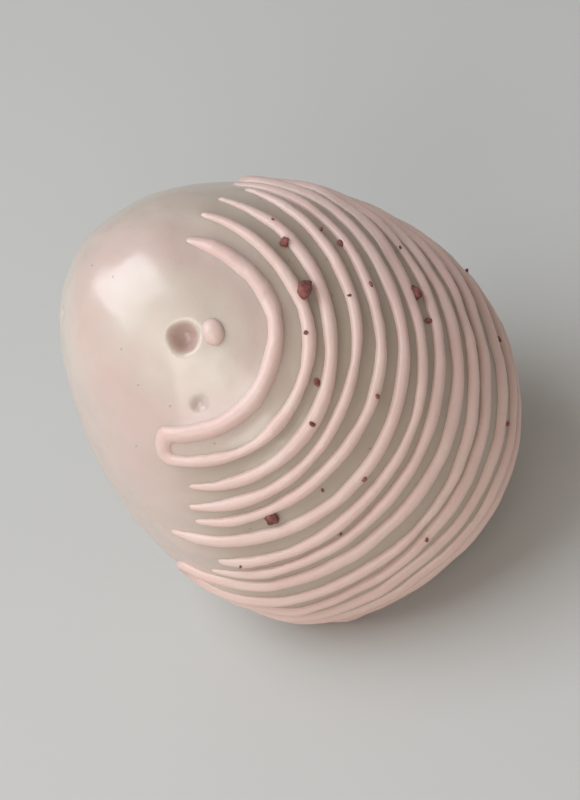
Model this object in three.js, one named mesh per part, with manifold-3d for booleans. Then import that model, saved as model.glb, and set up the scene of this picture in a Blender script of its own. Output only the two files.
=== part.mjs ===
// A strawberry without its leaves, dipped in white chocolate and drizzled on one side with fine lines.
// Millimetres, +Z up. The berry stands on its stem end, where the coat has set to a small flat foot,
// and leans to -X. The origin is the middle of the bounding box, at the height of the foot.

import * as THREE from 'three';
import { mergeVertices } from 'three/addons/utils/BufferGeometryUtils.js';
import Module from 'manifold-3d';

// The berry with its coat, before the foot is cut
const BERRY_LENGTH = 44.8;
const BERRY_WIDTH = 34.4;
const SHOULDER_EXPONENT = 0.75;
const BLUNTNESS_EXPONENT = 0.49;
const HEART_FRACTION = 0.45;
const TIP_BEND = 1.4;
const LOBES = [
  { count: 2, depth: 0.026, turn: 35 },
  { count: 3, depth: 0.02, turn: 80 },
  { count: 5, depth: 0.008, turn: 10 },
];
const TIP_LOBING = 0.35;

// How it stands
const LEAN_ANGLE = 25;
const FOOT_DEPTH = 2.6;

// The drizzle: lines round a slanting axis, on the side that faced up when they were poured
const DRIZZLE_TILT = 33;
const DRIZZLE_HEADING = -130;
const DRIZZLED_SIDE_HEADING = -40;
const LINE_COUNT = 14;
const FIRST_LINE_ANGLE = 23;
const LINE_STEP = 7.2;
const LINE_HALF_ANGLE = 1.9;
const LINE_HEIGHT = 0.5;
const LINE_REACH = 98;
const LINE_REACH_SPREAD = 10;
const LINE_FADE = 16;
const LINE_SWAY = 0.7;

// The facets
const COLUMNS = 64;
const CAP_ROWS = 5;
const HEEL_ROWS = 9;
const MERGE_TOLERANCE = 1e-4;
const RADIUS_SEARCH_STEPS = 26;

const COAT_COLOUR = 0xd8cbbd;
const COAT_ROUGHNESS = 0.42;

const radians = THREE.MathUtils.degToRad;

// Unit vector at an angle from +Z, on the side of a heading measured from +X
function slanted(tilt, heading) {
  const flat = Math.sin(radians(tilt));
  const [x, y] = [flat * Math.cos(radians(heading)), flat * Math.sin(radians(heading))];
  return new THREE.Vector3(x, y, Math.cos(radians(tilt)));
}

// Three unit vectors at right angles: the axis, the side nearest to a given direction, and across
function axesFrom(axis, sideHint) {
  const side = sideHint.clone().addScaledVector(axis, -sideHint.dot(axis)).normalize();
  const across = new THREE.Vector3().crossVectors(axis, side);
  return { axis, side, across };
}

const berry = axesFrom(slanted(LEAN_ANGLE, 180), new THREE.Vector3(1, 0, 0));
const drizzle = axesFrom(slanted(DRIZZLE_TILT, DRIZZLE_HEADING), slanted(90, DRIZZLED_SIDE_HEADING));

// Half the berry's width at a fraction of its length from the stem end, at an angle round its axis
function berryRadius(fraction, around) {
  const swell = Math.sin(Math.PI * fraction ** SHOULDER_EXPONENT) ** BLUNTNESS_EXPONENT;
  const fullness = 1 - (1 - TIP_LOBING) * fraction;
  let lobing = 1;
  for (const { count, depth, turn } of LOBES) {
    lobing += fullness * depth * Math.cos(count * (around - radians(turn)));
  }
  return (BERRY_WIDTH / 2) * swell * lobing;
}

// Whether a point, measured from the heart of the berry, is inside the coat
function isInside(point) {
  const fraction = point.dot(berry.axis) / BERRY_LENGTH + HEART_FRACTION;
  if (fraction <= 0 || fraction >= 1) {
    return false;
  }
  const bend = TIP_BEND * (fraction - HEART_FRACTION) ** 2;
  const outward = point.dot(berry.side) + bend;
  const across = point.dot(berry.across);
  return Math.hypot(outward, across) < berryRadius(fraction, Math.atan2(across, outward));
}

// Distance from the heart of the berry to its surface in one direction, found by halving
function surfaceDistance(direction) {
  const point = new THREE.Vector3();
  let near = 0;
  let far = BERRY_LENGTH;
  for (let step = 0; step < RADIUS_SEARCH_STEPS; step++) {
    const middle = (near + far) / 2;
    if (isInside(point.copy(direction).multiplyScalar(middle))) {
      near = middle;
    } else {
      far = middle;
    }
  }
  return near;
}

// Rows of the grid, from the pole of the drizzle's axis: each line is a crest between two feet
function gridRows() {
  const rows = [];
  const firstFoot = FIRST_LINE_ANGLE - LINE_HALF_ANGLE;
  for (let i = 1; i <= CAP_ROWS; i++) {
    rows.push({ polar: firstFoot * i / (CAP_ROWS + 1), line: 0, height: 0 });
  }
  for (let line = 0; line < LINE_COUNT; line++) {
    const crest = FIRST_LINE_ANGLE + line * LINE_STEP;
    rows.push({ polar: crest - LINE_HALF_ANGLE, line, height: 0 });
    rows.push({ polar: crest, line, height: LINE_HEIGHT });
    rows.push({ polar: crest + LINE_HALF_ANGLE, line, height: 0 });
  }
  const lastFoot = rows.at(-1).polar;
  for (let i = 1; i <= HEEL_ROWS; i++) {
    rows.push({ polar: lastFoot + (180 - lastFoot) * i / (HEEL_ROWS + 1), line: LINE_COUNT, height: 0 });
  }
  return rows;
}

// How much of a line's height is left at an angle from the middle of the drizzled side
function lineStrength(line, angle) {
  const reach = LINE_REACH + LINE_REACH_SPREAD * Math.sin(2.3 * line);
  return 1 - THREE.MathUtils.smoothstep(Math.abs(angle), reach - LINE_FADE, reach);
}

// The surface point at two angles about the drizzle's axis, raised by a height
function surfacePoint(polar, angle, height) {
  const direction = drizzle.axis.clone().multiplyScalar(Math.cos(radians(polar)))
    .addScaledVector(drizzle.side, Math.sin(radians(polar)) * Math.cos(radians(angle)))
    .addScaledVector(drizzle.across, Math.sin(radians(polar)) * Math.sin(radians(angle)));
  return direction.multiplyScalar(surfaceDistance(direction) + height);
}

// The whole coated berry as one closed grid of triangles with a point at each pole
function coatedBerryGeometry() {
  const rows = gridRows();
  const positions = [...surfacePoint(0, 0, 0)];
  for (const { polar, line, height } of rows) {
    for (let column = 0; column < COLUMNS; column++) {
      const angle = 360 * column / COLUMNS - 180;
      const sway = LINE_SWAY * Math.sin(radians(2 * angle) + 1.7 * line);
      positions.push(...surfacePoint(polar + sway, angle, height * lineStrength(line, angle)));
    }
  }
  positions.push(...surfacePoint(180, 0, 0));

  const indices = [];
  const vertex = (row, column) => 1 + row * COLUMNS + (column % COLUMNS);
  const lastRow = rows.length - 1;
  const heelPole = 1 + rows.length * COLUMNS;
  for (let column = 0; column < COLUMNS; column++) {
    indices.push(0, vertex(0, column), vertex(0, column + 1));
    for (let row = 0; row < lastRow; row++) {
      const [a, b] = [vertex(row, column), vertex(row, column + 1)];
      const [c, d] = [vertex(row + 1, column), vertex(row + 1, column + 1)];
      indices.push(a, c, d, a, d, b);
    }
    indices.push(vertex(lastRow, column), heelPole, vertex(lastRow, column + 1));
  }

  const geometry = new THREE.BufferGeometry();
  geometry.setAttribute('position', new THREE.Float32BufferAttribute(positions, 3));
  geometry.setIndex(indices);
  return geometry;
}

const wasm = await Module();
wasm.setup();

function solidFrom(geometry) {
  const bare = geometry.clone();
  bare.deleteAttribute('normal');
  bare.deleteAttribute('uv');
  const merged = mergeVertices(bare, MERGE_TOLERANCE);
  const vertProperties = new Float32Array(merged.attributes.position.array);
  const triVerts = new Uint32Array(merged.index.array);
  return new wasm.Manifold(new wasm.Mesh({ numProp: 3, vertProperties, triVerts }));
}

function geometryFrom(solid) {
  const mesh = solid.getMesh();
  const geometry = new THREE.BufferGeometry();
  geometry.setAttribute('position', new THREE.BufferAttribute(mesh.vertProperties, 3));
  geometry.setIndex(new THREE.BufferAttribute(mesh.triVerts, 1));
  geometry.computeVertexNormals();
  return geometry;
}

// Cuts the flat foot, then moves the berry so that the foot's plane is z = 0 and the box is centred
function onItsFoot(geometry) {
  geometry.computeBoundingBox();
  const footHeight = geometry.boundingBox.min.z + FOOT_DEPTH;
  const block = new THREE.BoxGeometry(2 * BERRY_LENGTH, 2 * BERRY_LENGTH, BERRY_LENGTH);
  block.translate(0, 0, footHeight - BERRY_LENGTH / 2);
  const standing = geometryFrom(solidFrom(geometry).subtract(solidFrom(block)));
  standing.computeBoundingBox();
  const middle = standing.boundingBox.getCenter(new THREE.Vector3());
  return standing.translate(-middle.x, -middle.y, -footHeight);
}

const coat = new THREE.MeshStandardMaterial({
  color: COAT_COLOUR,
  roughness: COAT_ROUGHNESS,
  metalness: 0,
});

const coatedStrawberry = new THREE.Mesh(onItsFoot(coatedBerryGeometry()), coat);
coatedStrawberry.name = 'coated_strawberry';

const part = new THREE.Group();
part.add(coatedStrawberry);

export default part;
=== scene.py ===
"""A strawberry dipped in white chocolate, with fine pink drizzle, standing on its small flat foot.

Metres, +Z up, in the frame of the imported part. Each piece is one operator's work, and main() runs them in
order: the coat over the berry, the drizzle with the drop beside the burst bubble, the crumbs, and the stage.
"""

import math
import random

import bpy
from bpy.props import FloatProperty, FloatVectorProperty, IntProperty, PointerProperty
from mathutils import Matrix, Vector, noise
from mathutils.bvhtree import BVHTree


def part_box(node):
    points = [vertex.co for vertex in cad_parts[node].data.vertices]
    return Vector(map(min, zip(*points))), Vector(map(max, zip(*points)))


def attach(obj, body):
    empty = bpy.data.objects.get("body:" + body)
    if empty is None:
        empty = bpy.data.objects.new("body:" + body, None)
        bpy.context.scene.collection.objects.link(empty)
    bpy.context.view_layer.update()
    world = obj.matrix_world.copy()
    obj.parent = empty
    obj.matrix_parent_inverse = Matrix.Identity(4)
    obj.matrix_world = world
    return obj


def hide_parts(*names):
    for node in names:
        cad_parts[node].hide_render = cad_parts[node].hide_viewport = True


bl_info = {
    "name": "Coated Strawberry",
    "version": (1, 0, 0),
    "blender": (4, 5, 0),
    "location": "3D View > Sidebar > Strawberry",
    "description": "Builds a strawberry coated in white chocolate around its packed solid",
    "category": "Object",
}

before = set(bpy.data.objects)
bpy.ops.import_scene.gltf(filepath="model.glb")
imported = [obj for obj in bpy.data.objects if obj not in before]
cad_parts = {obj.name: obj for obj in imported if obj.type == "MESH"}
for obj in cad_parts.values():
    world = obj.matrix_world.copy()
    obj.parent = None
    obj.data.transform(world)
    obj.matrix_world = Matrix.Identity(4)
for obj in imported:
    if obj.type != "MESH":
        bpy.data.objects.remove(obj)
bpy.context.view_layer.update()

BERRY_NODE = "coated_strawberry"
BODY = "root"
MM = 0.001

LOW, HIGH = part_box(BERRY_NODE)
HEIGHT = HIGH.z - LOW.z
MIDDLE = (LOW + HIGH) / 2
HEART_SHARE = Vector((0.481, 0.498, 0.441))  # where in its box the middle of the berry's form lies
HEART = LOW + HEART_SHARE * (HIGH - LOW)
CLEAR_OF_BERRY = 2 * HEIGHT
ANY_ANGLE = 6.3  # just over a full turn, in radians, for random angles


def slanted(tilt, heading):
    """Unit vector at an angle from +Z, on the side of a heading measured from +X, in degrees."""
    tilt, heading = math.radians(tilt), math.radians(heading)
    flat = math.sin(tilt)
    return Vector((flat * math.cos(heading), flat * math.sin(heading), math.cos(tilt)))


# The drizzle goes round this axis. Its side is the middle of what faced up when it was poured.
DRIZZLE_AXIS = slanted(33, -130)
SIDE_HINT = slanted(90, -40)
DRIZZLE_SIDE = (SIDE_HINT - DRIZZLE_AXIS * SIDE_HINT.dot(DRIZZLE_AXIS)).normalized()
DRIZZLE_ACROSS = DRIZZLE_AXIS.cross(DRIZZLE_SIDE)


def drizzle_direction(polar, around):
    """Unit vector from the heart at an angle from the drizzle's axis and an angle round it."""
    polar, around = math.radians(polar), math.radians(around)
    round_axis = DRIZZLE_SIDE * math.cos(around) + DRIZZLE_ACROSS * math.sin(around)
    return DRIZZLE_AXIS * math.cos(polar) + round_axis * math.sin(polar)


# ---------------------------------------------------------------------------------- shader maths


PORE_FLOOR = 0.4  # share of a pinhole's width that is its floor


class Socket:
    """A node's output that can be used in expressions: each operator adds its Math node."""

    def __init__(self, build, link):
        self.build = build
        self.link = link

    def _math(self, operation, *values):
        return self.build.node("ShaderNodeMath", {"operation": operation}, *values)

    def __add__(self, other):
        return self._math("ADD", self, other)

    def __rsub__(self, other):
        return self._math("SUBTRACT", other, self)

    def __mul__(self, other):
        return self._math("MULTIPLY", self, other)

    __radd__ = __add__
    __rmul__ = __mul__


class Finish:
    """One material and the nodes in it."""

    def __init__(self, name, **constants):
        self.material = bpy.data.materials.new(name)
        self.material.use_nodes = True
        self.tree = self.material.node_tree
        self.surface = self.tree.nodes["Principled BSDF"]
        for socket, value in constants.items():
            self.surface.inputs[socket.replace("_", " ")].default_value = value

    def node(self, kind, settings, *values, output=0, **named):
        """Adds a node: its settings first, then the values or links of its sockets, or None to leave one."""
        made = self.tree.nodes.new(kind)
        for key, value in settings.items():
            setattr(made, key, value)
        for key, value in [*enumerate(values), *named.items()]:
            self._feed(made.inputs[key], value)
        return Socket(self, made.outputs[output])

    def _feed(self, socket, value):
        if isinstance(value, Socket):
            self.tree.links.new(value.link, socket)
        elif value is not None:
            socket.default_value = value

    def place(self):
        """Object coordinates in millimetres."""
        metres = self.node("ShaderNodeTexCoord", {}, output="Object")
        return self.node("ShaderNodeVectorMath", {"operation": "SCALE"}, metres, Scale=1 / MM)

    def noise(self, size, detail=2.0, seed=0.0):
        """Soft noise from 0 to 1 whose blobs are about `size` millimetres across."""
        settings = {"noise_dimensions": "4D"}
        values = {"Vector": self.place(), "W": seed, "Scale": 1 / size, "Detail": detail}
        return self.node("ShaderNodeTexNoise", settings, **values)

    def pores(self, apart, size):
        """1 on the sound surface and 0 in scattered pinholes, whose spacing and width are in millimetres."""
        values = {"Vector": self.place(), "Scale": 1 / apart}
        nearest = self.node("ShaderNodeTexVoronoi", {}, **values, output="Distance")
        return self.band(nearest, PORE_FLOOR * size / apart, size / apart)

    def share_along(self, axis):
        """How nearly a place lies in a direction from the heart: 1 on it, 0 at right angles, -1 behind."""
        vector = "ShaderNodeVectorMath"
        outward = self.node(vector, {"operation": "SUBTRACT"}, self.place(), tuple(HEART / MM))
        outward = self.node(vector, {"operation": "NORMALIZE"}, outward)
        return self.node(vector, {"operation": "DOT_PRODUCT"}, outward, tuple(axis), output="Value")

    def band(self, value, start, end):
        """0 below start, 1 above end, and smooth between them."""
        settings = {"interpolation_type": "SMOOTHSTEP"}
        return self.node("ShaderNodeMapRange", settings, value, start, end, 0.0, 1.0)

    def mix(self, factor, one, other):
        """A colour between two colours, whose sockets follow five that colours don't use."""
        unused = [None] * 5
        return self.node("ShaderNodeMix", {"data_type": "RGBA"}, factor, *unused, one, other, output=2)

    def set(self, **links):
        """Feeds the surface's sockets."""
        for socket, value in links.items():
            self._feed(self.surface.inputs[socket.replace("_", " ")], value)

    def bump(self, height, millimetres):
        """Feeds relief of a given height to the surface's normal."""
        normal = self.node("ShaderNodeBump", {}, Distance=millimetres * MM, Height=height)
        self.set(Normal=normal)


def shade(colour, share):
    """A colour darkened to a share of its brightness."""
    red, green, blue, _ = colour
    return share * red, share * green, share * blue, 1.0


# ----------------------------------------------------------------------------- modelling helpers


def clear_selection():
    """Leaves edit mode and selects nothing."""
    if bpy.context.object and bpy.context.object.mode != "OBJECT":
        bpy.ops.object.mode_set(mode="OBJECT")
    bpy.ops.object.select_all(action="DESELECT")


def take_up(piece):
    """Makes a piece the only selected one and the active one."""
    clear_selection()
    piece.select_set(True)
    bpy.context.view_layer.objects.active = piece


def add_modifier(piece, kind, **settings):
    """Adds a modifier to a piece and applies it."""
    take_up(piece)
    modifier = piece.modifiers.new(kind.lower(), kind)
    for key, value in settings.items():
        setattr(modifier, key, value)
    bpy.ops.object.modifier_apply(modifier=modifier.name)


def select_points(piece, wanted):
    """Goes to edit mode with only the points chosen by wanted(position) selected."""
    take_up(piece)
    bpy.ops.object.mode_set(mode="EDIT")
    bpy.ops.mesh.select_mode(type="VERT")
    bpy.ops.mesh.select_all(action="DESELECT")
    bpy.ops.object.mode_set(mode="OBJECT")
    for point in piece.data.vertices:
        point.select = wanted(point.co)
    bpy.ops.object.mode_set(mode="EDIT")


def join(pieces, name):
    """Joins pieces into one with the given name."""
    take_up(pieces[0])
    for piece in pieces:
        piece.select_set(True)
    bpy.ops.object.join()
    joined = bpy.context.object
    joined.name = name
    joined.data.name = name
    return joined


def finish_piece(piece, material):
    """Smooth shading, place kept in the mesh, finish, and the body that the piece moves with."""
    take_up(piece)
    bpy.ops.object.transform_apply(location=True, rotation=True, scale=True)
    bpy.ops.object.shade_smooth()
    piece.data.materials.clear()
    piece.data.materials.append(material)
    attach(piece, BODY)
    clear_selection()


def relief(name, kind, size):
    """A texture for the Displace modifier, whose blobs or cells are about `size` across."""
    texture = bpy.data.textures.new(name, kind)
    texture.noise_scale = size
    return texture


def displace(piece, texture, strength):
    """Moves a piece's surface in and out by a texture."""
    settings = {"texture": texture, "strength": strength, "mid_level": 0.5, "texture_coords": "LOCAL"}
    add_modifier(piece, "DISPLACE", **settings)


class Surface:
    """The outside of finished pieces, as something to lay other pieces on."""

    def __init__(self, *names):
        graph = bpy.context.evaluated_depsgraph_get()
        self.trees = [BVHTree.FromObject(bpy.data.objects[name], graph) for name in names]

    def under(self, direction):
        """The outermost point and its normal in a direction from the heart."""
        outside = HEART + direction * CLEAR_OF_BERRY
        hits = [tree.ray_cast(outside, -direction) for tree in self.trees]
        hits = [(distance, point, normal) for point, normal, _, distance in hits if point]
        if not hits:
            raise RuntimeError("there is a gap where a piece should rest")
        return min(hits, key=lambda hit: hit[0])[1:]


# ------------------------------------------------------------------------------------------ coat


class StrawberryCoat(bpy.types.PropertyGroup):
    grain: FloatProperty(
        name="Grain",
        description="Size of the faces that the coat is made of",
        default=0.3 * MM,
        unit="LENGTH",
    )
    melting: IntProperty(
        name="Melting",
        description="How far the coat has run smooth before it set",
        default=46,
    )
    unevenness: FloatProperty(
        name="Unevenness",
        description="Height of the broad soft lumps in the coat",
        default=0.55 * MM,
        unit="LENGTH",
    )
    dimples: FloatProperty(
        name="Dimples",
        description="Depth of the dimples over the seeds, which show faintly through the coat",
        default=0.16 * MM,
        unit="LENGTH",
    )
    lip: FloatProperty(
        name="Lip",
        description="How far the coat has spread round the foot, as a share of the foot's width",
        default=1.08,
        min=1.0,
    )
    cream: FloatVectorProperty(
        name="Cream",
        description="Colour of the plain coat",
        default=(0.71, 0.60, 0.51, 1.0),
        size=4,
        subtype="COLOR",
    )
    # Also painted shade: mixed in on one side to make the coat rosier and a little darker there
    blush_and_shade: FloatVectorProperty(
        name="Blush",
        description="Colour of the rosier patches in the coat",
        default=(0.69, 0.505, 0.45, 1.0),
        size=4,
        subtype="COLOR",
    )
    stain: FloatVectorProperty(
        name="Stain",
        description="Colour of the coat where fruit shows through at the burst bubble",
        default=(0.55, 0.34, 0.30, 1.0),
        size=4,
        subtype="COLOR",
    )
    # Painted shade: a darker coat colour standing in for the shade in the grooves between the lines of
    # drizzle
    groove_shade: FloatVectorProperty(
        name="Taupe",
        description="Colour of the coat between the lines of drizzle",
        default=(0.46, 0.36, 0.28, 1.0),
        size=4,
        subtype="COLOR",
    )


WELD = 0.001 * MM
BROAD_LUMP, SMALL_LUMP, SEED_SPACING = 11 * MM, 4 * MM, 3.4 * MM
SMALL_LUMP_SHARE = 0.22  # height of the small lumps, as a share of the broad ones'
SETTLING = 5  # smoothing passes after the lumps are made
CRATER_FLOOR = 0.22  # how far from its middle a crater is flat, as a share of the bubble's width
CRATER_EDGE = 0.62  # how far from its floor a crater reaches, as a share of the bubble's width
SEAT_HEIGHT = 0.3 * MM  # what is lower than this sets flat on the table
LIP_HEIGHT = 2.2 * MM  # how far up from the table the lip is felt

# Burst bubbles: angle from the drizzle's axis, angle round it, width and depth in millimetres
BUBBLES = (
    (2.0, 23.5, 1.9, 1.5),
    (15.0, -66.0, 1.1, 0.3),
    (33.0, 176.0, 0.9, 0.3),
    (64.0, -168.0, 1.1, 0.4),
    (96.0, 158.0, 0.9, 0.35),
)

# Zones of colour: the share along a direction where each starts and where it is full
# The side where painted shade makes the coat rosier and a little darker
SHADE_TINT_SIDE = drizzle_direction(50, -106)
SIDE_SHADE_BAND = (0.66, 0.94)
WASH_RISE, WASH_FALL = (0.86, 0.93), (0.945, 0.985)
INSIDE_RING = (0.84, 0.94)
DRIZZLED = (-0.25, 0.3)
STAINED = (0.9975, 0.9995)


def white_chocolate(look):
    """Satin cream chocolate with rosy patches, a little light passing through it."""
    finish = Finish(
        "white_chocolate",
        Subsurface_Weight=0.4,
        Subsurface_Radius=(1.0, 0.62, 0.42),
        Subsurface_Scale=1.6 * MM,
        IOR=1.46,
        Coat_Roughness=0.27,
        Coat_IOR=1.75,
    )
    # Rosier in patches and in freckles, and painted shade on one side: the coat is made rosier and a little
    # darker there
    patches = finish.band(finish.noise(11.0, seed=3.1), 0.36, 0.68)
    freckles = finish.band(finish.noise(0.9, 3.0, seed=7.7), 0.5, 0.8)
    side_shade = finish.band(finish.share_along(SHADE_TINT_SIDE), *SIDE_SHADE_BAND)
    rosiness = patches * 0.45 + freckles * 0.15 + side_shade * 0.4
    colour = finish.mix(rosiness, look.cream, look.blush_and_shade)

    # A broken rosy wash inside the first ring, and painted shade from the ring on where the drizzle lies: a
    # darker coat colour standing in for the shade in the grooves between the lines
    toward_ring = finish.share_along(DRIZZLE_AXIS)
    wash = finish.band(toward_ring, *WASH_RISE) * (1 - finish.band(toward_ring, *WASH_FALL))
    colour = finish.mix(wash * finish.noise(3.0, seed=9.4) * 1.3, colour, look.blush_and_shade)
    past_ring = 1 - finish.band(toward_ring, *INSIDE_RING)
    drizzled = finish.band(finish.share_along(DRIZZLE_SIDE), *DRIZZLED) * past_ring
    colour = finish.mix(drizzled * 0.85, colour, look.groove_shade)

    # Fruit shows through at the first burst bubble
    burst = finish.share_along(drizzle_direction(*BUBBLES[0][:2]))
    colour = finish.mix(finish.band(burst, *STAINED) * 0.75, colour, look.stain)

    bloom = finish.noise(4.5, 3.0, seed=1.4)
    grain = finish.noise(0.35, seed=5.2)
    finish.set(
        Base_Color=colour,
        Roughness=bloom * 0.16 + grain * 0.05 + 0.34,
        Coat_Weight=1 - finish.band(bloom, 0.4, 0.75) * 0.5,
    )
    ripple = finish.noise(2.6, 1.0, seed=2.5)
    finish.bump(ripple * 0.8 + grain * 0.14 + finish.pores(1.9, 0.11), 0.11)
    return finish.material


class STRAWBERRY_OT_coat(bpy.types.Operator):
    """Lays the white chocolate coat over the berry"""

    bl_idname = "strawberry.coat"
    bl_label = "Coat"

    def execute(self, context):
        look = context.scene.strawberry_coat
        coat = bpy.data.objects.new("coat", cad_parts[BERRY_NODE].data.copy())
        context.collection.objects.link(coat)
        select_points(coat, lambda co: True)
        bpy.ops.mesh.remove_doubles(threshold=WELD)
        clear_selection()

        add_modifier(coat, "REMESH", mode="VOXEL", voxel_size=look.grain)
        add_modifier(coat, "SMOOTH", factor=0.5, iterations=look.melting)
        for name, kind, size, depth in (
            ("broad_lumps", "CLOUDS", BROAD_LUMP, look.unevenness),
            ("small_lumps", "CLOUDS", SMALL_LUMP, SMALL_LUMP_SHARE * look.unevenness),
            ("seed_dimples", "VORONOI", SEED_SPACING, look.dimples),
        ):
            displace(coat, relief(name, kind, size), depth)
        add_modifier(coat, "SMOOTH", factor=0.5, iterations=SETTLING)
        self.burst_bubbles(coat)
        self.spread_foot(coat, look.lip)
        finish_piece(coat, white_chocolate(look))
        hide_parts(BERRY_NODE)
        return {"FINISHED"}

    @staticmethod
    def burst_bubbles(coat):
        """Presses each burst bubble's small crater into the coat."""
        surface = Surface(coat.name)
        for polar, around, width, depth in BUBBLES:
            middle, normal = surface.under(drizzle_direction(polar, around))
            select_points(coat, lambda co: (co - middle).length < CRATER_FLOOR * width * MM)
            bpy.ops.transform.translate(
                value=-normal * depth * MM,
                use_proportional_edit=True,
                proportional_edit_falloff="SMOOTH",
                proportional_size=CRATER_EDGE * width * MM,
            )
            clear_selection()

    @staticmethod
    def spread_foot(coat, lip):
        """Presses everything close to the table flat onto it, and spreads it into a low lip."""
        select_points(coat, lambda co: co.z < LOW.z + SEAT_HEIGHT)
        bpy.ops.transform.resize(value=(1, 1, 0), center_override=(0, 0, LOW.z))
        bpy.ops.transform.resize(
            value=(lip, lip, 1),
            center_override=(0, 0, LOW.z),
            use_proportional_edit=True,
            proportional_edit_falloff="SMOOTH",
            proportional_size=LIP_HEIGHT,
        )
        clear_selection()


# --------------------------------------------------------------------------------------- drizzle


class StrawberryDrizzle(bpy.types.PropertyGroup):
    lines: IntProperty(
        name="Lines",
        description="How many times the drizzle passes over the berry",
        default=14,
        min=2,
    )
    width: FloatProperty(
        name="Width",
        description="Width of a line where it lies on the coat",
        default=1.22 * MM,
        unit="LENGTH",
    )
    first: FloatProperty(
        name="First line",
        description="Angle of the first line from the drizzle's axis",
        default=math.radians(23),
        subtype="ANGLE",
    )
    spacing: FloatProperty(
        name="Spacing",
        description="Angle from one line to the next",
        default=math.radians(7.2),
        subtype="ANGLE",
    )
    reach: FloatProperty(
        name="Reach",
        description="How far a line goes each way from the middle of the drizzled side",
        default=math.radians(98),
        subtype="ANGLE",
    )
    pink: FloatVectorProperty(
        name="Pink",
        description="Colour of the drizzle",
        default=(0.79, 0.56, 0.5, 1.0),
        size=4,
        subtype="COLOR",
    )
    thin: FloatVectorProperty(
        name="Thin",
        description="Colour of the drizzle where it is thin and the coat shows through",
        default=(0.79, 0.6, 0.53, 1.0),
        size=4,
        subtype="COLOR",
    )


STEPS_PER_LINE, STEPS_PER_TURN = 110, 10
SINK = 0.1  # how deep a line's round section lies in the coat, as a share of its radius
FLATTENING = 0.85  # how much deeper it lies where the line is thicker, as it runs flatter there
RING_BODY, TURN_BODY = 1.35, 1.06  # thickness of the first line, a broader ring, and of a turn
LEAST_BODY, MOST_BODY = 0.88, 1.12  # thickness of the other lines
SHORT, LONG = -14, 10  # how many degrees a line turns short of its reach or past it
STRAYING = 0.75  # how many degrees a whole line may lie off its place
SWAY, SWAY_SHIFT = 0.7, 1.7  # sideways sway of a line, in degrees, and its shift per line, in radians
RIPPLE, RIPPLES_ROUND = 0.22, 5  # finer sway, in degrees, and how often it comes in a full turn
SWELLS = (  # share of the thickness, length in degrees, and the noise's step from line to line and its start
    (0.3, 20, 3.0, 0.5),
    (0.08, 6, 5.0, 1.5),
)
TURNS_ON_BERRY = {0, 5, 8, 11}  # lines after which the drizzle turns back on the berry itself
TAIL_LENGTH, LEAST_TAIL, MOST_TAIL = 6 * MM, 0.3, 1.2  # usual length of a thinning end, and its spread
TIP_BODY, TIP_ROUNDING = 0.5, 0.05  # thickness at the very end of a line, and how blunt its tip is
DROP_PLACE, DROP_RADIUS, DROP_FORM = (8.6, 26.0), 1.0 * MM, (0.95, 1.2, 0.6)  # the last as shares of it
DRIZZLE_GRAIN = 0.21 * MM
DRIZZLE_SEED = 496


def pink_chocolate(look):
    """Satin dusty pink chocolate, paler where it is thin."""
    finish = Finish(
        "pink_chocolate",
        Subsurface_Weight=0.2,
        Subsurface_Radius=(1.0, 0.5, 0.4),
        Subsurface_Scale=0.7 * MM,
        IOR=1.46,
        Coat_Weight=0.3,
        Coat_Roughness=0.25,
    )
    thinness = finish.band(finish.noise(3.2, seed=4.0), 0.35, 0.7)
    finish.set(
        Base_Color=finish.mix(thinness * 0.7, look.pink, look.thin),
        Roughness=finish.noise(1.5, seed=6.0) * 0.15 + 0.28,
    )
    finish.bump(finish.noise(0.5, seed=8.0), 0.03)
    return finish.material


def poured_paths(look, dice):
    """The drizzle's runs, to and fro over the berry: (polar, around, thickness), in degrees and shares."""
    reach = math.degrees(look.reach)
    paths, path = [], []
    turn = reach + dice.uniform(SHORT, LONG)
    for line in range(look.lines):
        side = -1 if line % 2 == 0 else 1
        start = -side * turn
        turn = reach + dice.uniform(SHORT, LONG)
        end = side * turn
        crest = math.degrees(look.first) + line * math.degrees(look.spacing)
        offset, wave = dice.uniform(-STRAYING, STRAYING), dice.uniform(0, ANY_ANGLE)
        body = dice.uniform(LEAST_BODY, MOST_BODY) if line else RING_BODY
        for step in range(STEPS_PER_LINE + 1):
            around = start + (end - start) * step / STEPS_PER_LINE
            sway = SWAY * math.sin(math.radians(2 * around) + SWAY_SHIFT * line)
            ripple = RIPPLE * math.sin(math.radians(RIPPLES_ROUND * around) + wave)
            swell = 1
            for share, length, line_step, begin in SWELLS:
                swell += share * noise.noise(Vector((around / length, line_step * line, begin)))
            path.append((crest + offset + sway + ripple, around, body * swell))
        if line in TURNS_ON_BERRY:
            path.extend(turn_back(path[-1], end, side, math.degrees(look.spacing)))
        else:
            paths.append(path)
            path = []
            turn = reach + dice.uniform(SHORT, LONG)
    return paths


def turn_back(last, end, side, spacing):
    """Points of the small bend from one line to the next."""
    start, _, thickness = last
    bend = spacing / 2
    for step in range(1, STEPS_PER_TURN):
        angle = math.pi * step / STEPS_PER_TURN
        polar = start + bend * (1 - math.cos(angle))
        yield polar, end + side * bend * math.sin(angle), thickness * TURN_BODY


def end_taper(distance, radius, tail):
    """Share of the full thickness near a line's end: it thins to a fine round tip."""
    near = min(distance / radius, 1.0)
    rounding = math.sqrt(max(near * (2 - near), TIP_ROUNDING))
    thinning = TIP_BODY + (1 - TIP_BODY) * min(distance / tail, 1.0)
    return rounding * thinning


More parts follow.
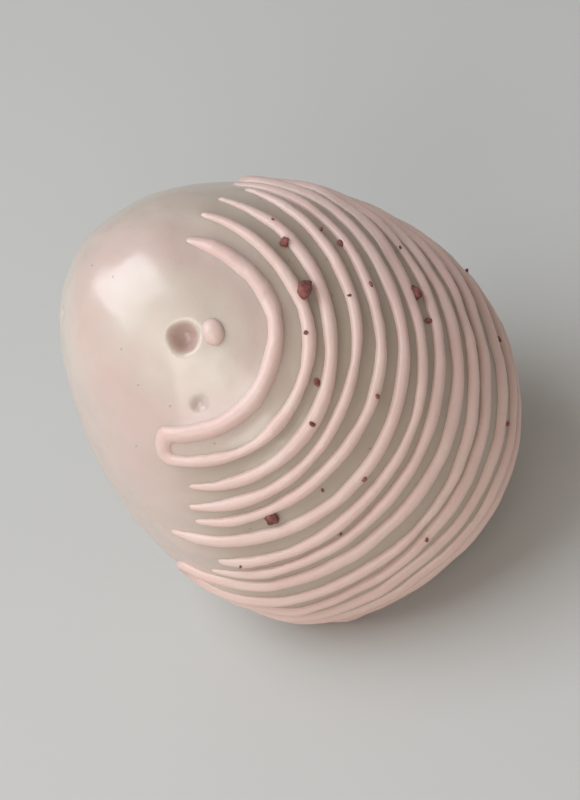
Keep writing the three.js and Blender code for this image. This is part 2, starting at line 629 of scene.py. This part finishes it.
class STRAWBERRY_OT_drizzle(bpy.types.Operator):
    """Pours the fine lines of pink chocolate over one side of the coat"""

    bl_idname = "strawberry.drizzle"
    bl_label = "Drizzle"

    def execute(self, context):
        look = context.scene.strawberry_drizzle
        surface = Surface("coat")
        radius = look.width / 2 / math.sqrt(1 - SINK**2)
        dice = random.Random(DRIZZLE_SEED)
        paths = poured_paths(look, dice)

        curve = bpy.data.curves.new("drizzle", "CURVE")
        curve.dimensions = "3D"
        curve.bevel_depth = radius
        curve.bevel_resolution = 4
        curve.use_fill_caps = True
        for path in paths:
            tail = dice.uniform(LEAST_TAIL, MOST_TAIL) * TAIL_LENGTH
            self.lay_line(curve, surface, path, radius, tail)
        lines = bpy.data.objects.new("drizzle", curve)
        context.collection.objects.link(lines)
        take_up(lines)
        bpy.ops.object.convert(target="MESH")
        lines = context.object

        drizzle = join([lines, self.drop(surface)], "drizzle")
        add_modifier(drizzle, "REMESH", mode="VOXEL", voxel_size=DRIZZLE_GRAIN)
        add_modifier(drizzle, "SMOOTH", factor=0.5, iterations=3)
        finish_piece(drizzle, pink_chocolate(look))
        return {"FINISHED"}

    @staticmethod
    def lay_line(curve, surface, path, radius, tail):
        """Lays one run of drizzle on the coat, above the table, as a curve as thick as each point says."""
        places = []
        for polar, around, thickness in path:
            point, normal = surface.under(drizzle_direction(polar, around))
            sink = max(SINK + FLATTENING * (thickness - 1), 0)
            place = point - normal * sink * radius * thickness
            place.z = max(place.z, LOW.z + radius * thickness)
            places.append((place, thickness))
        travelled = [0.0]
        for (one, _), (other, _) in zip(places, places[1:]):
            travelled.append(travelled[-1] + (other - one).length)
        spline = curve.splines.new("POLY")
        spline.points.add(len(places) - 1)
        for point, (place, thickness), along in zip(spline.points, places, travelled):
            to_end = min(along, travelled[-1] - along)
            point.co = (*place, 1.0)
            point.radius = thickness * end_taper(to_end, radius, tail)

    @staticmethod
    def drop(surface):
        """The low drop beside the burst bubble."""
        point, normal = surface.under(drizzle_direction(*DROP_PLACE))
        bpy.ops.mesh.primitive_uv_sphere_add(segments=24, ring_count=12, radius=DROP_RADIUS, location=point)
        drop = bpy.context.object
        drop.rotation_euler = normal.to_track_quat("Z", "Y").to_euler()
        drop.scale = DROP_FORM
        bpy.ops.object.transform_apply(location=True, rotation=True, scale=True)
        return drop


# ---------------------------------------------------------------------------------------- crumbs


class StrawberryCrumbs(bpy.types.PropertyGroup):
    size: FloatProperty(
        name="Size",
        description="Length of a usual crumb",
        default=1.1 * MM,
        unit="LENGTH",
    )
    strays: IntProperty(
        name="Strays",
        description="How many crumbs lie anywhere on the drizzled side, besides the placed ones",
        default=20,
        min=0,
    )
    rose: FloatVectorProperty(
        name="Rose",
        description="Colour of the dried raspberry crumbs",
        default=(0.36, 0.13, 0.115, 1.0),
        size=4,
        subtype="COLOR",
    )


# Crumbs that catch the eye: angle from the drizzle's axis, angle round it, share of the usual size
PLACED_CRUMBS = (
    (35.3, 64.1, 0.9),
    (32.1, 40.1, 1.5),
    (68.2, 36.3, 1.4),
    (53.2, -61.7, 1.3),
)
# The others: lowest, highest and likeliest angle from the axis, angles round it, and shares of the usual size
STRAY_POLAR, STRAY_AROUND, STRAY_SHARE = (28, 125, 45), (-95, 95), (0.25, 0.6)
CRUMB_FORM = ((0.9, 1.2), (0.6, 0.9), (0.5, 0.8))  # least and most length, width and thickness
CRUMB_LIFT = 0.12  # how far a crumb's middle stands above the surface, as a share of its size
BREAK_SIZE, BREAK_DEPTH = 0.45, 0.5  # size and depth of its broken faces, as shares of its size
CRUMB_SEED = 5


def raspberry_crumb(look):
    """Dull dark rose crumb of dried fruit, uneven in colour."""
    finish = Finish("raspberry_crumb", Specular_IOR_Level=0.3)
    tone = finish.band(finish.noise(0.5, 3.0, seed=2.0), 0.3, 0.7)
    finish.set(Base_Color=finish.mix(tone, shade(look.rose, 0.5), look.rose), Roughness=tone * 0.25 + 0.6)
    finish.bump(finish.noise(0.2, 3.0, seed=9.0), 0.08)
    return finish.material


class STRAWBERRY_OT_crumbs(bpy.types.Operator):
    """Sets the few crumbs of dried raspberry in the coat"""

    bl_idname = "strawberry.crumbs"
    bl_label = "Crumbs"

    def execute(self, context):
        look = context.scene.strawberry_crumbs
        dice = random.Random(CRUMB_SEED)
        surface = Surface("coat", "drizzle")
        places = list(PLACED_CRUMBS)
        for _ in range(look.strays):
            polar, around = dice.triangular(*STRAY_POLAR), dice.triangular(*STRAY_AROUND)
            places.append((polar, around, dice.uniform(*STRAY_SHARE)))
        crumbs = [self.crumb(look, surface, place, dice) for place in places]
        finish_piece(join(crumbs, "crumbs"), raspberry_crumb(look))
        return {"FINISHED"}

    @staticmethod
    def crumb(look, surface, place, dice):
        """One broken crumb, half sunk where it landed."""
        polar, around, share = place
        point, normal = surface.under(drizzle_direction(polar, around))
        size = look.size * share
        bpy.ops.object.select_all(action="DESELECT")
        seat = point + normal * CRUMB_LIFT * size
        bpy.ops.mesh.primitive_ico_sphere_add(subdivisions=3, radius=size / 2, location=seat)
        crumb = bpy.context.object
        crumb.rotation_euler = [dice.uniform(0, ANY_ANGLE) for _ in range(3)]
        crumb.scale = [dice.uniform(*limits) for limits in CRUMB_FORM]
        bpy.ops.object.transform_apply(location=True, rotation=True, scale=True)
        displace(crumb, relief("broken", "CLOUDS", BREAK_SIZE * size), BREAK_DEPTH * size)
        return crumb


# ----------------------------------------------------------------------------------------- stage


class StrawberryStage(bpy.types.PropertyGroup):
    elevation: FloatProperty(
        name="Elevation",
        description="How far above the table the camera looks down from",
        default=math.radians(42.8),
        subtype="ANGLE",
    )
    roll: FloatProperty(
        name="Roll",
        description="How far the camera is turned round its line of sight",
        default=math.radians(19.6),
        subtype="ANGLE",
    )
    distance: FloatProperty(
        name="Distance",
        description="From the camera to what it looks at",
        default=8.4 * HEIGHT,
        unit="LENGTH",
    )
    lowering: FloatProperty(
        name="Lowering",
        description="How far below the middle of the berry the camera looks",
        default=0.066 * HEIGHT,
        unit="LENGTH",
    )
    lens: FloatProperty(
        name="Lens",
        description="Focal length in millimetres",
        default=180.0,
    )
    floor: FloatVectorProperty(
        name="Floor",
        description="Colour of the plain floor",
        default=(0.64, 0.625, 0.6, 1.0),
        size=4,
        subtype="COLOR",
    )


# Lights: heading and height of where each stands in degrees, its distance, width, power and colour
LIGHTS = (
    ("window", 184.0, 56.0, 0.42, 0.36, 1.4, (0.85, 0.93, 1.0)),
    ("room", 245.0, 22.0, 0.6, 0.38, 1.12, (1.0, 0.965, 0.925)),
)
AIR_COLOUR, AIR_STRENGTH = (1.0, 0.94, 0.88, 1.0), 0.3
FLOOR_SIZE = 60 * HEIGHT
NEAREST_SEEN, FARTHEST_SEEN = 0.1 * HEIGHT, 200 * HEIGHT


class STRAWBERRY_OT_stage(bpy.types.Operator):
    """Sets up the floor, the soft lights and the camera"""

    bl_idname = "strawberry.stage"
    bl_label = "Stage"

    def execute(self, context):
        look = context.scene.strawberry_stage
        self.lay_floor(look)
        for light in LIGHTS:
            self.hang_light(*light)
        self.set_air(context.scene)
        self.place_camera(context.scene, look)
        return {"FINISHED"}

    @staticmethod
    def lay_floor(look):
        clear_selection()
        bpy.ops.mesh.primitive_plane_add(size=FLOOR_SIZE, location=(0, 0, LOW.z))
        floor = bpy.context.object
        floor.name = "floor"
        finish = Finish("floor", Roughness=0.6, Specular_IOR_Level=0.2)
        tone = finish.noise(40.0, seed=1.0)
        finish.set(Base_Color=finish.mix(tone, shade(look.floor, 0.96), look.floor))
        floor.data.materials.append(finish.material)

    @staticmethod
    def hang_light(name, heading, height, distance, width, power, colour):
        toward = slanted(90 - height, heading)
        clear_selection()
        bpy.ops.object.light_add(type="AREA", location=MIDDLE + toward * distance)
        light = bpy.context.object
        light.name = name
        light.rotation_euler = toward.to_track_quat("Z", "Y").to_euler()
        light.data.shape = "SQUARE"
        light.data.size = width
        light.data.energy = power
        light.data.color = colour

    @staticmethod
    def set_air(scene):
        """Even pale light from all round."""
        scene.world = bpy.data.worlds.new("air")
        scene.world.use_nodes = True
        background = scene.world.node_tree.nodes["Background"]
        background.inputs["Color"].default_value = AIR_COLOUR
        background.inputs["Strength"].default_value = AIR_STRENGTH
        scene.view_settings.view_transform = "Standard"

    @staticmethod
    def place_camera(scene, look):
        back = Vector((0.0, -math.cos(look.elevation), math.sin(look.elevation)))
        turn = Matrix.Rotation(-look.roll, 3, back) @ back.to_track_quat("Z", "Y").to_matrix()
        aim = MIDDLE - turn.col[1] * look.lowering
        bpy.ops.object.camera_add(location=aim + back * look.distance, rotation=turn.to_euler())
        camera = bpy.context.object
        camera.name = "camera"
        camera.data.lens = look.lens
        camera.data.clip_start, camera.data.clip_end = NEAREST_SEEN, FARTHEST_SEEN
        scene.camera = camera


# ----------------------------------------------------------------------------------------- panel


PIECE_OPERATORS = (
    STRAWBERRY_OT_coat,
    STRAWBERRY_OT_drizzle,
    STRAWBERRY_OT_crumbs,
    STRAWBERRY_OT_stage,
)

SETTINGS = {
    "strawberry_coat": StrawberryCoat,
    "strawberry_drizzle": StrawberryDrizzle,
    "strawberry_crumbs": StrawberryCrumbs,
    "strawberry_stage": StrawberryStage,
}


class STRAWBERRY_PT_panel(bpy.types.Panel):
    """Lists the settings and the pieces in the order that they are made"""

    bl_idname = "STRAWBERRY_PT_panel"
    bl_label = "Coated Strawberry"
    bl_space_type = "VIEW_3D"
    bl_region_type = "UI"
    bl_category = "Strawberry"

    def draw(self, context):
        for (name, group), operator in zip(SETTINGS.items(), PIECE_OPERATORS):
            box = self.layout.box()
            box.operator(operator.bl_idname)
            for setting in group.__annotations__:
                box.prop(getattr(context.scene, name), setting)


CLASSES = (*SETTINGS.values(), *PIECE_OPERATORS, STRAWBERRY_PT_panel)


def register():
    for cls in CLASSES:
        bpy.utils.register_class(cls)
    for name, group in SETTINGS.items():
        setattr(bpy.types.Scene, name, PointerProperty(type=group))


def unregister():
    for name in SETTINGS:
        delattr(bpy.types.Scene, name)
    for cls in reversed(CLASSES):
        bpy.utils.unregister_class(cls)


def main():
    register()
    for operator in PIECE_OPERATORS:
        group, name = operator.bl_idname.split(".")
        getattr(getattr(bpy.ops, group), name)()


if __name__ == "__main__":
    main()
